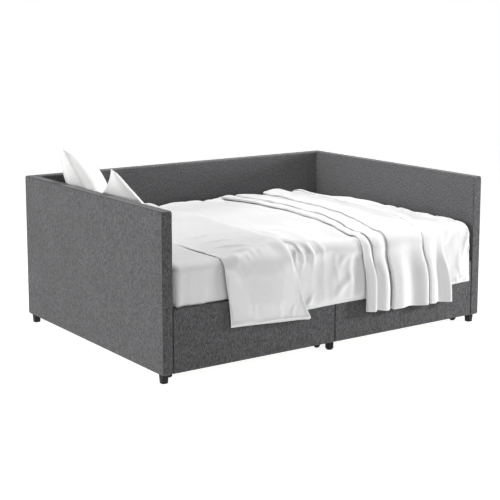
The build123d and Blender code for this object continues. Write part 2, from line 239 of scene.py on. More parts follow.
# ---------------------------------------------------------------- materials
class Nodes:
    """A material's node tree, with short calls for the nodes used here."""

    def __init__(self, name):
        self.material = bpy.data.materials.new(name)
        self.material.use_nodes = True
        self.tree = self.material.node_tree
        self.shader = self.tree.nodes["Principled BSDF"]
        self.place = self.add("ShaderNodeTexCoord").outputs["Object"]

    def add(self, kind, **values):
        node = self.tree.nodes.new(kind)
        for key, value in values.items():
            setattr(node, key, value)
        return node

    def link(self, source, target):
        self.tree.links.new(source, target)

    def stretched(self, scale):
        mapping = self.add("ShaderNodeMapping")
        mapping.inputs["Scale"].default_value = scale
        self.link(self.place, mapping.inputs["Vector"])
        return mapping.outputs["Vector"]

    def noise(self, scale, detail=3.0, stretch=(1, 1, 1), rough=0.6):
        node = self.add("ShaderNodeTexNoise")
        node.inputs["Scale"].default_value = scale
        node.inputs["Detail"].default_value = detail
        node.inputs["Roughness"].default_value = rough
        self.link(self.stretched(stretch), node.inputs["Vector"])
        return node.outputs["Fac"]

    def wave(self, scale, direction, distortion):
        node = self.add("ShaderNodeTexWave", bands_direction=direction)
        node.inputs["Scale"].default_value = scale
        node.inputs["Distortion"].default_value = distortion
        node.inputs["Detail"].default_value = 1.0
        self.link(self.place, node.inputs["Vector"])
        return node.outputs["Fac"]

    def ramp(self, source, stops):
        node = self.add("ShaderNodeValToRGB")
        elements = node.color_ramp.elements
        while len(elements) < len(stops):
            elements.new(0.5)
        for element, (place, colour) in zip(elements, stops):
            element.position = place
            element.color = (*colour, 1)
        self.link(source, node.inputs["Fac"])
        return node.outputs["Color"]

    def math(self, operation, a, b):
        node = self.add("ShaderNodeMath", operation=operation)
        for socket, value in zip(node.inputs, (a, b)):
            if isinstance(value, (int, float)):
                socket.default_value = value
            else:
                self.link(value, socket)
        return node.outputs[0]

    def mixed(self, *parts):
        """The sum of some values, each times its share."""
        scaled = [self.math("MULTIPLY", value, share) for value, share in parts]
        total = scaled[0]
        for value in scaled[1:]:
            total = self.math("ADD", total, value)
        return total

    def multiply_colour(self, a, b):
        node = self.add("ShaderNodeMix", data_type="RGBA", blend_type="MULTIPLY")
        node.inputs["Factor"].default_value = 1.0
        self.link(a, node.inputs["A"])
        self.link(b, node.inputs["B"])
        return node.outputs["Result"]

    def bump(self, height, strength, distance, normal=None):
        node = self.add("ShaderNodeBump")
        node.inputs["Strength"].default_value = strength
        node.inputs["Distance"].default_value = distance
        self.link(height, node.inputs["Height"])
        if normal is not None:
            self.link(normal, node.inputs["Normal"])
        return node.outputs["Normal"]

    def finish(self, colour, roughness, normal=None, **constants):
        """Links the shader's inputs and sets the others by name, with _ for a space; returns the material."""
        self.link(colour, self.shader.inputs["Base Color"])
        if isinstance(roughness, (int, float)):
            self.shader.inputs["Roughness"].default_value = roughness
        else:
            self.link(roughness, self.shader.inputs["Roughness"])
        if normal is not None:
            self.link(normal, self.shader.inputs["Normal"])
        for key, value in constants.items():
            self.shader.inputs[key.replace("_", " ")].default_value = value
        return self.material


def linen(name, dark, light):
    """Grey upholstery linen: upright slubs over a plain weave, with light and dark threads mixed in."""
    nodes = Nodes(name)
    slub = nodes.noise(1.0, 2.0, (230, 230, 95), 0.6)
    thread = nodes.noise(1.0, 2.0, (640, 640, 260), 0.6)
    fine = nodes.noise(900, 2.0)
    wide = nodes.noise(5.0, 2.0)
    threads = nodes.mixed((slub, 0.50), (thread, 0.30), (fine, 0.20))
    colour = nodes.ramp(threads, [(0.38, dark), (0.62, light)])
    shade = nodes.ramp(wide, [(0.3, (0.93, 0.93, 0.93)), (0.7, (1, 1, 1))])
    colour = nodes.multiply_colour(colour, shade)
    normal = nodes.bump(threads, 0.6, 0.0010)
    return nodes.finish(colour, 0.92, normal,
                        Sheen_Weight=0.2, Sheen_Roughness=0.5, Specular_IOR_Level=0.25)


def cotton(name, tint, weave, crease):
    """White cotton: a fine plain weave over soft small creases."""
    nodes = Nodes(name)
    across = nodes.wave(weave, "X", 0.6)
    along = nodes.wave(weave, "Y", 0.6)
    upright = nodes.wave(weave, "Z", 0.6)
    threads = nodes.math("ADD", nodes.math("MULTIPLY", across, along), upright)
    soft = nodes.noise(24.0, 3.0, (1.0, 0.7, 0.7), 0.5)
    mottle = nodes.noise(90.0, 3.0)
    darker = tuple(c * 0.955 for c in tint)
    colour = nodes.ramp(nodes.mixed((mottle, 0.6), (threads, 0.2)), [(0.25, darker), (0.65, tint)])
    normal = nodes.bump(soft, crease, 0.004)
    normal = nodes.bump(threads, 0.12, 0.0004, normal)
    return nodes.finish(colour, 0.85, normal,
                        Sheen_Weight=0.15, Sheen_Roughness=0.4, Specular_IOR_Level=0.2)


def wood(name, dark, light, grain):
    """Raw wood or board: rings stretched by grain, with fine chips over them."""
    nodes = Nodes(name)
    rings = nodes.noise(1.0, 5.0, grain, 0.65)
    chips = nodes.noise(160, 4.0, (1, 1, 1), 0.7)
    figure = nodes.mixed((rings, 0.6), (chips, 0.4))
    colour = nodes.ramp(figure, [(0.32, dark), (0.68, light)])
    roughness = nodes.math("ADD", 0.55, nodes.math("MULTIPLY", rings, 0.25))
    return nodes.finish(colour, roughness, nodes.bump(figure, 0.25, 0.0008))


def hard(name, colour, roughness, metallic, speckle):
    """Moulded plastic, rubber, paint or plated steel, with wear in its gloss."""
    nodes = Nodes(name)
    grain = nodes.noise(speckle, 4.0)
    scuff = nodes.noise(18, 5.0)
    lighter = tuple(min(1, c * 1.35 + 0.006) for c in colour)
    shades = nodes.ramp(scuff, [(0.3, colour), (0.75, lighter)])
    gloss = nodes.math("ADD", roughness - 0.1, nodes.math("MULTIPLY", scuff, 0.25))
    return nodes.finish(shades, gloss, nodes.bump(grain, 0.2, 0.0004), Metallic=metallic)


linen_grey = linen("grey_linen", (0.054, 0.054, 0.056), (0.212, 0.212, 0.217))
# the seam cords get a darker copy of the cover linen: painted shade, standing in for the shadow in each
# seam's groove
seam_linen_painted_shade = linen("grey_linen_seam_painted_shade", (0.045, 0.045, 0.047), (0.165, 0.165, 0.170))
sheet_white = cotton("white_sheet", (0.73, 0.73, 0.73), 520, 0.25)
duvet_white = cotton("white_duvet", (0.76, 0.76, 0.76), 480, 0.30)
throw_white = cotton("white_throw", (0.78, 0.78, 0.78), 560, 0.20)
pillow_white = cotton("white_pillow", (0.75, 0.75, 0.745), 480, 0.35)
ticking = cotton("mattress_ticking", (0.80, 0.80, 0.78), 260, 0.6)
chipboard = wood("board", (0.20, 0.18, 0.155), (0.40, 0.365, 0.32), (9, 9, 60))
pine = wood("slat_wood", (0.42, 0.31, 0.19), (0.70, 0.57, 0.40), (60, 4, 60))
black_plastic = hard("black_plastic", (0.012, 0.012, 0.012), 0.45, 0.0, 700)
black_steel = hard("black_steel", (0.02, 0.02, 0.02), 0.5, 0.4, 900)
rubber = hard("wheel_rubber", (0.014, 0.014, 0.014), 0.75, 0.0, 500)
zinc = hard("zinc_steel", (0.55, 0.55, 0.56), 0.35, 1.0, 300)

by_slot = {
    "grey_linen": linen_grey,
    "white_sheet": sheet_white,
    "mattress_ticking": ticking,
    "board": chipboard,
    "slat_wood": pine,
    "black_plastic": black_plastic,
    "black_steel": black_steel,
    "wheel_rubber": rubber,
    "zinc_steel": zinc,
}
node_slots = {part["node"]: part["material_slot"] for part in frame["record"]["subparts"]}
for node, obj in frame["nodes"].items():
    material = by_slot.get(node_slots[node])
    if material is not None:
        for place in obj.material_slots:
            place.material = material

# ---------------------------------------------------------------- upholstery seams
SEAM_RADIUS = 0.0017
SEAM_INSET = 0.0022
SEAM_CORNER = 0.010


def arm_seam(name, x, low, high):
    """The sewn edge of an arm's face, where its front and top strip meets it; its cord is a darker copy of
    the cover linen, painted shade of the seam's groove.
    """
    front, rear = low[1] + SEAM_INSET + SEAM_CORNER, high[1] - SEAM_INSET - SEAM_CORNER
    bottom, top = low[2] + SEAM_INSET + SEAM_CORNER, high[2] - SEAM_INSET - SEAM_CORNER
    path = []
    for y, z, start in ((front, bottom, 180), (rear, bottom, 270), (rear, top, 0), (front, top, 90)):
        for turn in np.radians(start + np.linspace(0, 90, 7)):
            path.append((x, y + SEAM_CORNER * math.cos(turn), z + SEAM_CORNER * math.sin(turn)))
    seam = cord(name, path, SEAM_RADIUS, seam_linen_painted_shade)
    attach(seam, "bed")


for side in ("left", "right"):
    low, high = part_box(f"{side}_arm_cover")
    outer, inner = low[0] + SEAM_INSET, high[0] - SEAM_INSET
    if side == "right":
        outer, inner = inner, outer
    arm_seam(f"{side}_arm_outer_seam", outer, low, high)
    arm_seam(f"{side}_arm_inner_seam", inner, low, high)

# ---------------------------------------------------------------- mattress and fitted sheet
MATTRESS_ROUND = 0.030
MATTRESS_STEP = 0.022
SHEET_STEP = 0.011


def round_block(points, low, high, radius, under):
    """Moves the points of a box's surface onto a block with edges of a radius, but of under at the bottom."""
    centre = (low + high) / 2
    half = (high - low) / 2
    offset = points - centre
    below = offset[:, 2] < 0
    scale = np.full(points.shape, radius)
    scale[below, 2] = under
    inner = half - scale
    held = np.clip(offset, -inner, inner)
    out = (offset - held) / scale
    length = np.maximum(np.linalg.norm(out, axis=-1, keepdims=True), 1e-9)
    return centre + held + out / length * scale


def box_surface(low, high, step, with_bottom=True):
    """Points and quads of a box's surface, welded, with squares of about one step."""
    counts = [max(2, int(round((high[k] - low[k]) / step))) for k in range(3)]
    points, faces, lookup = [], [], {}

    def point(i, j, k):
        key = (i, j, k)
        if key not in lookup:
            lookup[key] = len(points)
            points.append([low[a] + (high[a] - low[a]) * key[a] / counts[a] for a in range(3)])
        return lookup[key]

    def side(across, up, level, order):
        """One side's squares: across and up are its axes, level its place on the third axis."""
        for a in range(counts[across]):
            for b in range(counts[up]):
                corners = []
                for step_a, step_b in order:
                    key = [level, level, level]
                    key[across] = a + step_a
                    key[up] = b + step_b
                    corners.append(point(*key))
                faces.append(corners)

    forward = ((0, 0), (1, 0), (1, 1), (0, 1))
    backward = ((0, 0), (0, 1), (1, 1), (1, 0))
    side(0, 1, counts[2], forward)
    if with_bottom:
        side(0, 1, 0, backward)
    side(0, 2, 0, forward)
    side(0, 2, counts[1], backward)
    side(1, 2, 0, backward)
    side(1, 2, counts[0], forward)
    return np.array(points), faces


def make_mattress():
    low, high = (np.array(v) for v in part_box("mattress"))
    points, faces = box_surface(low, high, MATTRESS_STEP)
    points = round_block(points, low, high, MATTRESS_ROUND, 0.020)
    mattress = make_object("mattress_body", points, faces, ticking)
    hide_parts("mattress")
    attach(mattress, "bed")


def make_fitted_sheet():
    low, high = (np.array(v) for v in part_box("fitted_sheet"))
    flat, faces = box_surface(low, high, SHEET_STEP, with_bottom=False)
    points = round_block(flat, low, high, MATTRESS_ROUND + 0.006, 0.004)
    centre = (low + high) / 2
    half = (high - low) / 2
    share = (flat - centre) / half
    # gathers fan out of each corner, drag lines run up from the elastic, and wide waves cross the rest
    corner = np.minimum(1.0, np.abs(share[:, 0]) ** 14) * np.minimum(1.0, np.abs(share[:, 1]) ** 10)
    down = np.clip((high[2] - flat[:, 2]) / (high[2] - low[2]), 0, 1)
    around = np.arctan2(flat[:, 1] - centre[1], flat[:, 0] - centre[0])
    gather = corner * down * 0.004 * np.sin(around * 160)
    drag = down ** 2 * 0.0025 * lump(flat * np.array([1, 1, 0.25]), 26.0, 3)
    wave = 0.0022 * lump(flat, 5.0, 4) * (1 - corner)
    outward = flat - np.clip(flat, low + 0.06, high - 0.06)
    length = np.linalg.norm(outward, axis=1, keepdims=True)
    outward = outward / np.maximum(length, 1e-9)
    points = points + outward * (gather + drag + wave + 0.001)[:, None]
    # its lower edge hangs a little lower along the front
    skirt = (flat[:, 1] < low[1] + 0.01) * smooth((low[2] + 0.04 - flat[:, 2]) / 0.04)
    points[:, 2] -= 0.0025 * skirt
    sheet = make_object("fitted_sheet_cloth", points, faces, sheet_white)
    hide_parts("fitted_sheet")
    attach(sheet, "bed")
    return sheet


make_mattress()
fitted_sheet = make_fitted_sheet()

# ---------------------------------------------------------------- the path of cloth over the bed's front edge
# the path runs from the back over the sheet, round the edge, and down in front of the drawer fronts
EDGE_ROUND = 0.056
CLOTH_BASE = SHEET_TOP + 0.0015
DROP_Y = FRONT - 0.004
EDGE_Y = DROP_Y + EDGE_ROUND
CLOTH_BACK = BACK_FACE - 0.008
TOP_RUN = CLOTH_BACK - EDGE_Y
BEND_RUN = EDGE_ROUND * math.pi / 2


def drop_length(z):
    """How far along the path the cloth comes down to height z."""
    return TOP_RUN + BEND_RUN + (CLOTH_BASE - EDGE_ROUND - z)


def on_path(s):
    """Point and outward direction, in Y and Z, at a length s from the back of the bed."""
    s = np.asarray(s, float)
    turn = np.clip((s - TOP_RUN) / EDGE_ROUND, 0, math.pi / 2)
    y = CLOTH_BACK - np.minimum(s, TOP_RUN) - EDGE_ROUND * np.sin(turn)
    fall = np.maximum(s - TOP_RUN - BEND_RUN, 0)
    z = CLOTH_BASE - EDGE_ROUND + EDGE_ROUND * np.cos(turn) - fall
    return y, z, -np.sin(turn), np.cos(turn)


def lay(x, s, height):
    """Points of a cloth: x across the bed, s along the path, height off the path's surface."""
    y, z, ny, nz = on_path(s)
    return np.stack([x, y + ny * height, z + nz * height], axis=-1)


SEARCH_REACH = 0.16


def heights_over(tree, x, s):
    """How high a finished surface stands over the path at each point, or 0 where there is none."""
    y, z, ny, nz = on_path(s)
    found = np.zeros(x.shape)
    for index in np.ndindex(x.shape):
        out = Vector((0, float(ny[index]), float(nz[index])))
        start = Vector((float(x[index]), float(y[index]), float(z[index]))) + out * SEARCH_REACH
        place, _, _, distance = tree.ray_cast(start, -out, SEARCH_REACH)
        if place is not None:
            found[index] = SEARCH_REACH - distance
    return found


def hold(values, s, limit):
    """Keeps the heights of the row at a length along the path for every row below it."""
    below = s.mean(axis=1) > limit
    if below.any():
        values[below] = values[np.argmax(below)]
    return values


def blur(values, rows, columns):
    """A box blur that keeps the edges."""
    for axis, width in ((0, rows), (1, columns)):
        if width < 1:
            continue
        padding = [(0, 0), (0, 0)]
        padding[axis] = (width, width)
        padded = np.pad(values, padding, mode="edge")
        total = np.cumsum(padded, axis=axis)
        total = np.insert(total, 0, 0, axis=axis)
        size = 2 * width + 1
        upper = np.take(total, np.arange(size, total.shape[axis]), axis=axis)
        lower = np.take(total, np.arange(0, total.shape[axis] - size), axis=axis)
        values = (upper - lower) / size
    return values


def unroll(points):
    """Length along the path and height off it, for points near the bed's top and front."""
    y, z = points[:, 1], points[:, 2]
    bend_z = CLOTH_BASE - EDGE_ROUND
    turn = np.arctan2(EDGE_Y - y, z - bend_z)
    s = TOP_RUN + EDGE_ROUND * turn
    height = np.hypot(EDGE_Y - y, z - bend_z) - EDGE_ROUND
    top = y > EDGE_Y
    s[top], height[top] = CLOTH_BACK - y[top], z[top] - CLOTH_BASE
    drop = (z < bend_z) & ~top
    s[drop], height[drop] = TOP_RUN + BEND_RUN + bend_z - z[drop], DROP_Y - y[drop]
    return s, height


def top_length(y):
    """Length along the path at a distance y behind the bed's front."""
    return CLOTH_BACK - FRONT - y


def spread(length, step):
    """Shares of a length, one step apart, but close together near both ends."""
    ends = np.array([0, 0.0015, 0.004, 0.008, 0.014, 0.021])
    margin = 0.030
    middle = np.linspace(margin, length - margin, max(3, int((length - 2 * margin) / step)))
    return np.concatenate([ends, middle, length - ends[::-1]]) / length


def slope(distance, reach):
    """0 to 1 over a reach, nearly straight, with a soft start."""
    return np.clip(distance / reach, 0, 1) ** 0.7


def rounded(distance, radius):
    """0 to 1 over a radius, as a quarter of a circle rises."""
    return np.sqrt(1 - (1 - np.clip(distance / radius, 0, 1)) ** 2)


def fold(x, s, path, width, height):
    """A ridge along a path of (x from the left arm's outer face, s) points; it fades at both ends."""
    path = np.array(path, float)
    path[:, 0] += LEFT
    lengths = np.linalg.norm(np.diff(path, axis=0), axis=1)
    starts = np.concatenate([[0], np.cumsum(lengths)])
    nearest = np.full(x.shape, np.inf)
    along = np.zeros(x.shape)
    for i, length in enumerate(lengths):
        way = (path[i + 1] - path[i]) / length
        t = np.clip((x - path[i, 0]) * way[0] + (s - path[i, 1]) * way[1], 0, length)
        away = np.hypot(x - path[i, 0] - t * way[0], s - path[i, 1] - t * way[1])
        closer = away < nearest
        nearest = np.where(closer, away, nearest)
        along = np.where(closer, starts[i] + t, along)
    share = along / starts[-1]
    return height * smooth(share / 0.3) * smooth((1 - share) / 0.3) * np.exp(-((nearest / width) ** 2))


def add_folds(obj, folds):
    """Raises the outer layer of a finished cover along folds given as (path, width, height)."""
    points = coordinates(obj)
    s, height = unroll(points)
    lift = np.zeros(len(points))
    for path, width, rise in folds:
        lift += fold(points[:, 0], s, path, width, rise)
    # the underside stays as it is
    lift *= smooth((height - 0.006) / 0.012)
    _, _, ny, nz = on_path(s)
    points[:, 1] += ny * lift
    points[:, 2] += nz * lift
    set_coordinates(obj, points)


# the two flat cuts, as the axis they are square to and their place on it
CUT_TOLERANCE = 1e-6
HEM_CUT = (2, SPLIT_Z)
MIDDLE_CUT = (0, MIDDLE_X)


def on_cut(vertex, cut):
    axis, place = cut
    return abs(vertex.co[axis] - place) < CUT_TOLERANCE


def close_cut(part):
    """Fills the openings left by the flat cuts, one flat face to each."""
    corner = [v for v in part.verts if v.is_boundary and on_cut(v, HEM_CUT) and on_cut(v, MIDDLE_CUT)]
    if len(corner) == 2:
        part.edges.new(corner)
    for cut in (HEM_CUT, MIDDLE_CUT):
        rim_edges = [e for e in part.edges if len(e.link_faces) < 2 and all(on_cut(v, cut) for v in e.verts)]
        if rim_edges:
            bmesh.ops.edgeloop_fill(part, edges=rim_edges)


def split_cloth(obj, cuts):
    """Cuts a finished cloth at SPLIT_Z; cuts gives the hem pieces as (name, low x, high x).

    Every piece keeps the whole cloth's shading along the cut, so no line shows.
    """
    whole = bmesh.new()
    whole.from_mesh(obj.data)
    planes = [((0, 0, SPLIT_Z), (0, 0, 1))]
    if len(cuts) > 1:
        planes.append(((MIDDLE_X, 0, 0), (1, 0, 0)))
    for place, direction in planes:
        geometry = whole.verts[:] + whole.edges[:] + whole.faces[:]
        bmesh.ops.bisect_plane(whole, geom=geometry, plane_co=place, plane_no=direction, dist=1e-7)
    whole.normal_update()
    material = obj.data.materials[0]
    made = []
    for name, low_x, high_x in [(obj.name, None, None)] + cuts:
        part = whole.copy()
        doomed = []
        for face in part.faces:
            middle = face.calc_center_median()
            upper = middle.z > SPLIT_Z
            keep = upper if low_x is None else not upper and low_x <= middle.x <= high_x
            if not keep:
                doomed.append(face)
        part.verts.ensure_lookup_table()
        kept_normals = [v.normal.copy() for v in part.verts]
        layer = part.verts.layers.float_vector.new("kept_normal")
        for vertex, normal in zip(part.verts, kept_normals):
            vertex[layer] = normal
        bmesh.ops.delete(part, geom=doomed, context="FACES")
        close_cut(part)
        mesh = bpy.data.meshes.new(name + "_mesh")
        part.to_mesh(mesh)
        part.free()
        mesh.materials.append(material)
        mesh.polygons.foreach_set("use_smooth", [True] * len(mesh.polygons))
        stored = mesh.attributes["kept_normal"].data
        mesh.normals_split_custom_set_from_vertices([tuple(item.vector) for item in stored])
        mesh.attributes.remove(mesh.attributes["kept_normal"])
        if low_x is None:
            obj.data = mesh
            made.append(obj)
        else:
            piece = bpy.data.objects.new(name, mesh)
            bpy.context.scene.collection.objects.link(piece)
            made.append(piece)
    whole.free()
    return made


# ---------------------------------------------------------------- duvet
# its left edge on top and at the hem, its right edge, and the height of its hem
DUVET_LEFT = LEFT + 0.352
DUVET_DROP_LEFT = LEFT + 0.425
DUVET_RIGHT = INNER_RIGHT - 0.026
DUVET_HEM = 0.243
DUVET_LOFT = 0.022
# how far in from its left, right, back and hem edges it reaches its full height
DUVET_EDGES = (0.32, 0.085, 0.035, 0.045)
# how far off what is below it the underside and the outline of a padded cloth lie
DUVET_UNDERSIDE = 0.0015
FLAP_UNDERSIDE = 0.0022
CLOTH_OUTLINE = 0.003
# about how far apart a padded cloth's points are
STEP = 0.0105

# soft ridges, each as its points (x from the left arm's outer face, length along the path), width and height
DUVET_FOLDS = (
    # four pulls beside the turned-back end's free edge
    ([(0.66, top_length(0.16)), (0.70, top_length(0.0)), (0.735, drop_length(0.545)),
      (0.775, drop_length(0.46))], 0.011, 0.017),
    ([(0.70, top_length(0.20)), (0.765, top_length(0.0)), (0.803, drop_length(0.50)),
      (0.778, drop_length(0.39))], 0.010, 0.0191),
    ([(0.76, top_length(0.20)), (0.825, top_length(0.02)), (0.862, drop_length(0.49)),
      (0.880, drop_length(0.40))], 0.012, 0.0127),
    ([(0.84, top_length(0.12)), (0.915, drop_length(0.53)), (0.935, drop_length(0.44))], 0.014, 0.0064),
    # the soft rises on the top that lead into them
    ([(0.80, top_length(0.55)), (0.83, top_length(0.30)), (0.78, top_length(0.08))], 0.030, 0.0085),
    ([(0.93, top_length(0.45)), (0.94, top_length(0.22)), (0.88, top_length(0.02))], 0.026, 0.0075),
    ([(1.06, top_length(0.60)), (1.05, top_length(0.35)), (0.99, top_length(0.15))], 0.035, 0.0054),
    # bulges near the hem
    ([(0.89, drop_length(0.35)), (0.85, drop_length(0.30)), (0.81, drop_length(0.255))], 0.014, 0.0106),
    ([(1.12, drop_length(0.40)), (1.04, drop_length(0.33)), (0.98, drop_length(0.262))], 0.022, 0.0085),
    ([(1.10, drop_length(0.52)), (1.09, drop_length(0.42)), (1.12, drop_length(0.30))], 0.018, 0.0064),
    ([(1.00, drop_length(0.54)), (1.00, drop_length(0.45)), (1.03, drop_length(0.36))], 0.016, 0.0054),
    ([(1.87, drop_length(0.46)), (1.86, drop_length(0.35)), (1.90, drop_length(0.26))], 0.016, 0.0064),
)


def make_duvet():
    """The duvet, blown up and then folded, over the bed's top and front edge."""
    length = drop_length(DUVET_HEM)
    v, u = np.meshgrid(spread(length, STEP), spread(DUVET_RIGHT - DUVET_LEFT, STEP), indexing="ij")
    s = v * length
    down = smooth((s - TOP_RUN) / (length - TOP_RUN))
    left = DUVET_LEFT + (DUVET_DROP_LEFT - DUVET_LEFT) * down
    right = DUVET_RIGHT - 0.012 * (1 - down)
    x = left + (right - left) * u
    s = s + 0.004 * np.sin(u * 9.0 + 0.6) * v**4
    place = np.stack([x, s, np.zeros_like(x)], axis=-1)
    left_edge, right_edge, back_edge, hem_edge = DUVET_EDGES
    inside = slope(x - left, left_edge) * rounded(right - x, right_edge)
    inside = inside * rounded(s, back_edge) * rounded((1 - v) * length, hem_edge)
    crown = 0.010 * np.sin(np.pi * u) ** 0.7 * smooth((length - s) / 0.9)
    loft = DUVET_LOFT + crown + 0.005 * lump(place, 2.6, 11) + 0.0035 * lump(place, 8.0, 12) + 0.004 * down
    # it is thinner where it turns over the front edge, most of all under the throw
    thinner = 0.003 + 0.007 * smooth((x - LEFT - 0.95) / 0.2)
    loft = loft - thinner * np.exp(-(((s - TOP_RUN - 0.04) / 0.11) ** 2))
    loft = loft + 0.0018 * lump(place * np.array([1.0, 0.35, 1.0]), 24.0, 13) * (0.3 + down)
    top = lay(x, s, CLOTH_OUTLINE + np.maximum(loft, 0.010) * inside)
    bottom = lay(x, s, DUVET_UNDERSIDE)
    duvet, under = shell("duvet_cloth", top, bottom, duvet_white)
    inflate(duvet, np.unique(under), pressure=2.0, grow=0.035, cap=0.012, frames=12)
    subdivide(duvet)
    add_folds(duvet, DUVET_FOLDS)
    return duvet


# ---------------------------------------------------------------- the duvet's turned-back end
FLAP_LEFT = LEFT + 0.338
FLAP_HEM = 0.222
FLAP_LOFT = 0.035
# how far in from its left, free, back and hem edges it reaches its full height on top of the bed
FLAP_EDGES = (0.26, 0.044, 0.035, 0.026)
# the width that its points are spread over, before its free edge is drawn
FLAP_WIDTH = 0.45

FLAP_FOLDS = (
    # pulls that fan out from where the fold passes over the bed's front edge
    ([(0.38, top_length(0.50)), (0.46, top_length(0.47)), (0.56, top_length(0.42))], 0.014, 0.005),
    ([(0.38, top_length(0.36)), (0.47, top_length(0.32)), (0.58, top_length(0.24))], 0.013, 0.006),
    ([(0.375, top_length(0.25)), (0.46, top_length(0.19)), (0.57, top_length(0.08))], 0.012, 0.008),
    ([(0.37, top_length(0.15)), (0.44, top_length(0.08)), (0.53, drop_length(0.55))], 0.014, 0.007),
    ([(0.37, top_length(0.06)), (0.415, top_length(0.0)), (0.47, drop_length(0.50))], 0.016, 0.006),
    ([(0.37, top_length(0.01)), (0.395, drop_length(0.53)), (0.425, drop_length(0.42))], 0.018, 0.004),
    # the full roll of the free edge and a few soft swells
    ([(0.70, top_length(1.25)), (0.72, top_length(0.8)), (0.70, top_length(0.4)), (0.66, top_length(0.05)),
      (0.70, drop_length(0.45)), (0.77, drop_length(0.28))], 0.050, 0.013),
    ([(0.57, top_length(0.02)), (0.60, drop_length(0.42)), (0.58, drop_length(0.24))], 0.110, 0.014),
    ([(0.60, drop_length(0.33)), (0.63, drop_length(0.28)), (0.64, drop_length(0.235))], 0.012, 0.004),
    ([(0.72, drop_length(0.31)), (0.70, drop_length(0.27)), (0.71, drop_length(0.235))], 0.010, 0.004),
    ([(0.48, drop_length(0.36)), (0.47, drop_length(0.30)), (0.50, drop_length(0.24))], 0.016, 0.004),
)


def make_flap(tree):
    """The turned-back end, laid over the duvet and the sheet that tree holds."""
    length = drop_length(FLAP_HEM)
    v, u = np.meshgrid(spread(length, STEP), spread(FLAP_WIDTH, STEP), indexing="ij")
    s = v * length
    down = np.clip((s - TOP_RUN - 0.02) / (length - TOP_RUN - 0.02), 0, 1)
    left = FLAP_LEFT + 0.036 * smooth(down)
    # the free edge, as its length along the path and its distance from the left arm's outer face
    free_edge = [
        (0.0, 0.755), (top_length(0.8), 0.752), (top_length(0.53), 0.748), (top_length(0.2), 0.712),
        (top_length(0.0), 0.690), (drop_length(0.50), 0.728), (drop_length(0.40), 0.764),
        (drop_length(0.30), 0.802), (length, 0.840),
    ]
    right = LEFT + np.interp(s, *zip(*free_edge))
    right = blur(right, 6, 0)
    x = left + (right - left) * u
    s = s + v**6 * 0.022 * u
    place = np.stack([x, s, np.zeros_like(x)], axis=-1)
    base = hold(heights_over(tree, x, s), s, drop_length(DUVET_HEM + 0.05))
    base = blur(base, 6, 3) * smooth((x - left) / 0.05) ** 0.5
    # where it hangs it is fuller, and it reaches its full height nearer to its sides
    turned = smooth((s - TOP_RUN) / 0.12)
    left_edge, right_edge, back_edge, hem_edge = FLAP_EDGES
    inside = slope(x - left, left_edge - 0.16 * turned) * rounded(right - x, right_edge - 0.020 * turned)
    inside = inside * rounded(s, back_edge) * rounded((1 - v) * length, hem_edge)
    loft = FLAP_LOFT + 0.004 * lump(place, 4.0, 21) + 0.0015 * lump(place, 11.0, 22)
    loft = loft + 0.0010 * lump(place, 26.0, 23) + 0.020 * smooth((s - TOP_RUN) / 0.26)
    top = lay(x, s, base + CLOTH_OUTLINE + np.maximum(loft, 0.008) * inside)
    bottom = lay(x, s, base + FLAP_UNDERSIDE)
    flap, under = shell("duvet_turnback", top, bottom, duvet_white)
    inflate(flap, np.unique(under), pressure=2.0, grow=0.008, cap=0.010, frames=12)
    subdivide(flap)
    add_folds(flap, FLAP_FOLDS)
    return flap


# ---------------------------------------------------------------- throw
THROW_HEM = 0.163
THROW_STEP = 0.009
THROW_THICKNESS = 0.0022
THROW_CLEAR = 0.0042
# each pleat's fold, and last the throw's right edge. The first two lists say where it is given: distances
# behind the bed's front, and heights on the drop. The others are its distances from the left arm there.
THROW_LINES = (
    ((1.385, 1.16, 0.78, 0.32, 0.05), (0.505, 0.397, 0.283, 0.170),
     (1.210, 1.310, 1.325, 1.252, 1.150), (1.166, 1.197, 1.203, 1.198)),
    ((1.385, 0.92, 0.60, 0.32, 0.05), (0.490, 0.391, 0.293, 0.170),
     (1.345, 1.415, 1.380, 1.310, 1.203), (1.228, 1.264, 1.272, 1.264)),
    ((1.385, 0.82, 0.60, 0.41, 0.05), (0.498, 0.417, 0.299, 0.170),
     (1.560, 1.550, 1.512, 1.455, 1.337), (1.318, 1.350, 1.374, 1.370)),
    ((1.385, 0.82, 0.60, 0.41, 0.05), (0.546, 0.462, 0.321, 0.170),
     (1.790, 1.800, 1.790, 1.760, 1.620), (1.545, 1.592, 1.625, 1.626)),
    ((1.385, 0.82, 0.60, 0.41, 0.05), (0.447, 0.352, 0.259, 0.163),
     (1.880, 1.885, 1.880, 1.865, 1.775), (1.723, 1.773, 1.794, 1.800)),
)
# how much of its full depth each pleat has on top of the bed, and that depth there
PLEAT_STRENGTHS = (0.90, 1.0, 1.0, 0.35)
PLEAT_TOP_DEPTH = 0.019
# how far from its fold a pleat starts to sink
PLEAT_LIP = 0.010


def hanging_wave(number, t):
    """Height of the throw between two folds where it hangs, as a share of the pleat's depth."""
    if number < 2:
        return np.sin(np.pi * (0.16 + 0.84 * t)) ** 0.9
    if number == 2:
        return 0.55 + 0.45 * np.cos(2 * np.pi * (t - 0.16) / 0.78)
    return 0.50 + 0.42 * np.cos(2 * np.pi * (t - 0.10) / 0.80)


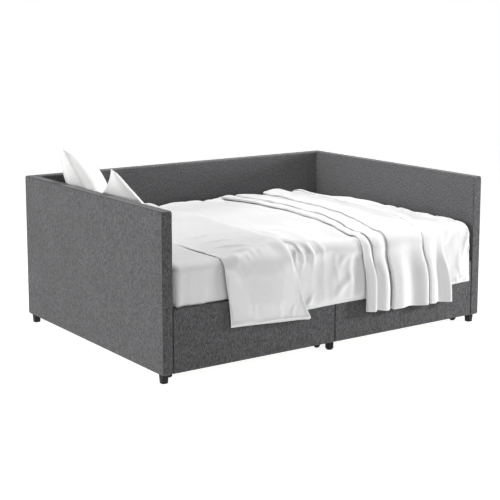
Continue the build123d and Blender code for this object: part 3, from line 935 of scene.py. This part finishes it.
def make_throw(tree):
    """The throw, laid in pleats over the duvet that tree holds."""
    length = drop_length(THROW_HEM)
    rows = int(length / THROW_STEP)
    s_line = np.linspace(0, length, rows)
    drop = smooth((s_line - TOP_RUN + 0.03) / 0.28)
    lines = []
    for ys, zs, tops, drops in THROW_LINES:
        stations = [top_length(y) for y in ys] + [drop_length(z) for z in zs]
        line = np.interp(s_line, stations, np.array(tops + drops) + LEFT)
        lines.append(blur(blur(line[:, None], 8, 0), 8, 0)[:, 0])
    # the pleats open out below the bed's front edge
    hang_depth = 0.013 + 0.030 * drop
    across, lift = [], []
    for number, strength in enumerate(PLEAT_STRENGTHS):
        begin, finish = lines[number], lines[number + 1]
        depth = strength * PLEAT_TOP_DEPTH * (1 - drop) + hang_depth * drop
        # the fold's lip leans over a tuck, which the first pleat does not have
        tuck = 0.016 * (1 - 0.3 * drop) * (number > 0)
        highest = 0.42 if number < 2 else 0.85
        for shift, share in ((tuck, 0.02), (0.6 * tuck, 0.05), (0.25 * tuck, 0.22),
                             (-0.002, 0.60), (0.001, 0.84), (0.006, 0.96)):
            across.append(begin + shift)
            lift.append(depth * share * (1 - drop) + depth * drop * min(share, highest))
        for t in np.linspace(0.0, 1.0, 15)[1:-1]:
            flat = 1.0 - 0.92 * smooth((t - 0.25) / 0.75)
            across.append(begin + PLEAT_LIP + (finish - begin - PLEAT_LIP) * t)
            lift.append(depth * ((1 - drop) * flat + drop * max(0.02, hanging_wave(number, t))))
    across.append(finish)
    lift.append(0.04 * depth)
    x = np.stack(across, axis=1)
    h = np.stack(lift, axis=1)
    where = (x - lines[0][:, None]) / (lines[-1] - lines[0])[:, None]
    s = np.repeat(s_line[:, None], x.shape[1], axis=1)
    s = s - (0.024 * (1 - where) + 0.003 * np.sin(where * 19)) * (s / length) ** 5
    place = np.stack([x, s, np.zeros_like(x)], axis=-1)
    base = blur(hold(heights_over(tree, x, s), s, drop_length(DUVET_HEM + 0.06)), 4, 3)
    # at the back of the bed two of the pleats are pushed up
    from_left = x - LEFT
    pushed = np.zeros_like(x)
    for middle, width, rise in ((1.650, 0.055, 0.020), (1.800, 0.040, 0.013)):
        pushed += rise * np.exp(-(((from_left - middle) / width) ** 2))
    base = base + pushed * (1 - smooth(s / 0.32))
    ripple = 0.0016 * lump(place, 9.0, 31) + 0.0010 * lump(place * np.array([1.0, 0.3, 1.0]), 30.0, 32)
    height = base + THROW_CLEAR + h + ripple
    points = lay(x, s, height).reshape(-1, 3)
    faces = grid_quads(np.arange(x.size).reshape(x.shape))
    throw = make_object("throw_cloth", points, faces, throw_white)
    solid = throw.modifiers.new("thickness", "SOLIDIFY")
    solid.thickness = THROW_THICKNESS
    solid.offset = 0.0
    apply_modifiers(throw)
    subdivide(throw)
    return throw


duvet = make_duvet()
flap = make_flap(tree_of(duvet, fitted_sheet))
throw = make_throw(tree_of(duvet))

duvet_pieces = split_cloth(duvet, [
    ("duvet_hem_left_cloth", -math.inf, MIDDLE_X),
    ("duvet_hem_right_cloth", MIDDLE_X, math.inf),
])
flap_pieces = split_cloth(flap, [("duvet_turnback_hem", -math.inf, math.inf)])
throw_pieces = split_cloth(throw, [("throw_hem_cloth", -math.inf, math.inf)])

# each cloth piece hides the part it replaces, where it has one, and hangs on the bed's body; a hem in front
# of a drawer gets a mesh of its own
for piece, node, joint in (
    (duvet_pieces[0], "duvet", None),
    (duvet_pieces[1], "duvet_hem_left", "left_drawer_slide"),
    (duvet_pieces[2], "duvet_hem_right", "right_drawer_slide"),
    (flap_pieces[0], None, None),
    (flap_pieces[1], None, "left_drawer_slide"),
    (throw_pieces[0], "throw", None),
    (throw_pieces[1], "throw_hem", "right_drawer_slide"),
):
    if node:
        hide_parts(node)
    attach(piece, "bed")
    if joint:
        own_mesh(piece)


# ---------------------------------------------------------------- pillows
PILLOW_COUNT = 38
PIPING_RADIUS = 0.0028
# a pillow keeps this clear of what it lies on, and gives over this depth there
PILLOW_GAP = 0.004
PILLOW_GIVE = 0.03
# what lies below is looked for from this far above the sheet
LOOK_DOWN = 0.3


def make_pillow(name, node, size, front, back, corner, centre, yaw, lean, roll, tree):
    """A square stuffed pillow: two faces sewn at the edge and blown up, then leant in place.

    Its open face looks along yaw, it leans back from upright and rolls within its own plane.
    front and back are how far its two faces stand out; corner says how flat its corners are.
    """
    line = np.linspace(-1, 1, PILLOW_COUNT)
    v, u = np.meshgrid(line, line, indexing="ij")
    # sides pull in between the corners
    pull = 1 - 0.05 * (1 - v**2) * np.abs(u) ** 2
    pull_v = 1 - 0.05 * (1 - u**2) * np.abs(v) ** 2
    flat_x, flat_y = u * pull * size / 2, v * pull_v * size / 2
    puff = ((1 - u**2) * (1 - v**2)) ** corner
    place = np.stack([u, v, np.zeros_like(u)], axis=-1)
    # creases run in from each corner
    diagonal = np.abs(np.abs(u) - np.abs(v))
    crease = 0.05 * np.exp(-((diagonal / 0.05) ** 2)) * (u**2 + v**2) / 2
    puff = puff * (1 + 0.05 * lump(place, 1.1, 41)) - crease
    top = np.stack([flat_x, flat_y, front * np.maximum(puff, 0)], axis=-1)
    bottom = np.stack([flat_x, flat_y, -back * np.maximum(puff, 0)], axis=-1)
    pillow, _ = shell(name, top, bottom, pillow_white)
    inflate(pillow, [], pressure=3.0, grow=0.0, cap=0.010, frames=8)
    subdivide(pillow)
    turn = (Matrix.Translation(centre) @ Matrix.Rotation(math.radians(yaw), 4, "Z")
            @ Matrix.Rotation(math.radians(90 - lean), 4, "Y") @ Matrix.Rotation(math.radians(roll), 4, "Z"))
    pillow.data.transform(turn)
    points = coordinates(pillow)
    # the underside flattens on what it rests on
    rest = np.full(len(points), SHEET_TOP + PILLOW_GAP)
    for i, p in enumerate(points):
        above = Vector((p[0], p[1], SHEET_TOP + LOOK_DOWN))
        hit, _, _, _ = tree.ray_cast(above, Vector((0, 0, -1)), LOOK_DOWN)
        if hit is not None:
            rest[i] = max(rest[i], hit.z + PILLOW_GAP)
    soft = rest + PILLOW_GIVE
    low = points[:, 2] < soft
    gap = soft - points[:, 2]
    points[low, 2] = (soft - PILLOW_GIVE * (1 - np.exp(-gap / PILLOW_GIVE)))[low]
    # and its side flattens on the arm
    wall = INNER_LEFT + 0.003
    near = (points[:, 2] < ARM_TOP) & (points[:, 0] < wall)
    points[near, 0] = wall
    set_coordinates(pillow, points)
    index = np.arange(PILLOW_COUNT**2).reshape(PILLOW_COUNT, PILLOW_COUNT)
    seam = np.concatenate([index[0, :-1], index[:-1, -1], index[-1, :0:-1], index[:0:-1, 0]])
    piping = cord(f"{name}_piping", points[seam], PIPING_RADIUS, pillow_white)
    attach(piping, "bed")
    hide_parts(node)
    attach(pillow, "bed")


bedding = tree_of(duvet, flap)
PILLOW_REST = SHEET_TOP + 0.001
make_pillow("rear_pillow_cloth", "rear_pillow", size=0.462, front=0.070, back=0.100, corner=0.62,
            centre=(INNER_LEFT + 0.176, BACK_FACE - 0.267, PILLOW_REST + 0.222),
            yaw=-35, lean=28, roll=-10, tree=bedding)
make_pillow("front_pillow_cloth", "front_pillow", size=0.440, front=0.016, back=0.075, corner=0.75,
            centre=(INNER_LEFT + 0.169, FRONT + 0.649, PILLOW_REST + 0.144),
            yaw=0, lean=32, roll=57, tree=bedding)

# ---------------------------------------------------------------- floor, light and camera
FLOOR_SIZE = 14.0


def make_floor():
    half = FLOOR_SIZE / 2
    mesh = bpy.data.meshes.new("floor")
    corners = [(-half, -half, 0), (half, -half, 0), (half, half, 0), (-half, half, 0)]
    mesh.from_pydata(corners, [], [(0, 1, 2, 3)])
    floor = bpy.data.objects.new("floor", mesh)
    bpy.context.scene.collection.objects.link(floor)
    nodes = Nodes("pale_floor")
    tone = nodes.noise(3.0, 2.0)
    colour = nodes.ramp(tone, [(0.3, (0.27, 0.27, 0.27)), (0.7, (0.29, 0.29, 0.29))])
    mesh.materials.append(nodes.finish(colour, 0.9, Emission_Color=(1, 1, 1, 1), Emission_Strength=0.90))
    floor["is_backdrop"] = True


def make_light(name, place, target, size, power):
    """A rectangular light of some watts at a place, turned to a target."""
    data = bpy.data.lights.new(name, "AREA")
    data.shape = "RECTANGLE"
    data.size, data.size_y = size
    data.energy = power
    light = bpy.data.objects.new(name, data)
    light.location = place
    light.rotation_euler = (Vector(target) - Vector(place)).to_track_quat("-Z", "Y").to_euler()
    bpy.context.scene.collection.objects.link(light)


def make_world():
    """A studio whose white surround is brightest at the horizon and darker overhead."""
    world = bpy.data.worlds.new("studio")
    world.use_nodes = True
    tree = world.node_tree
    place = tree.nodes.new("ShaderNodeTexCoord")
    split = tree.nodes.new("ShaderNodeSeparateXYZ")
    tree.links.new(place.outputs["Generated"], split.inputs[0])
    ramp = tree.nodes.new("ShaderNodeMapRange")
    ramp.interpolation_type = "SMOOTHSTEP"
    for socket, value in (("From Min", 0.03), ("From Max", 0.16), ("To Min", 1.0), ("To Max", 0.235)):
        ramp.inputs[socket].default_value = value
    tree.links.new(split.outputs["Z"], ramp.inputs["Value"])
    background = tree.nodes["Background"]
    background.inputs["Color"].default_value = (1, 1, 1, 1)
    tree.links.new(ramp.outputs["Result"], background.inputs["Strength"])
    bpy.context.scene.world = world


make_floor()
make_world()
bpy.context.scene.view_settings.view_transform = "Standard"
bpy.context.scene.view_settings.gamma = 0.8
make_light("key", (-13.5, 0.0, 4.0), (0, 0, 0.5), (3.9, 3.1), 1260)
make_light("top", (0.35, 0.0, 3.5), (0.0, -0.1, 0.5), (1.5, 1.3), 93)
make_light("right_front", (3.2, -2.2, 1.1), (1.05, -0.7, 0.35), (0.5, 0.5), 80)

CAMERA_PLACE = (-3.858, -5.463, 1.767)
CAMERA_YAW = 35.01
CAMERA_PITCH = 8.70
camera_data = bpy.data.cameras.new("camera")
camera_data.sensor_width = 36.0
camera_data.lens = 88.73
camera_data.shift_y = -0.12
camera = bpy.data.objects.new("camera", camera_data)
camera.location = CAMERA_PLACE
camera.rotation_euler = (math.radians(90 - CAMERA_PITCH), 0, math.radians(-CAMERA_YAW))
bpy.context.scene.collection.objects.link(camera)
bpy.context.scene.camera = camera

low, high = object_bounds()
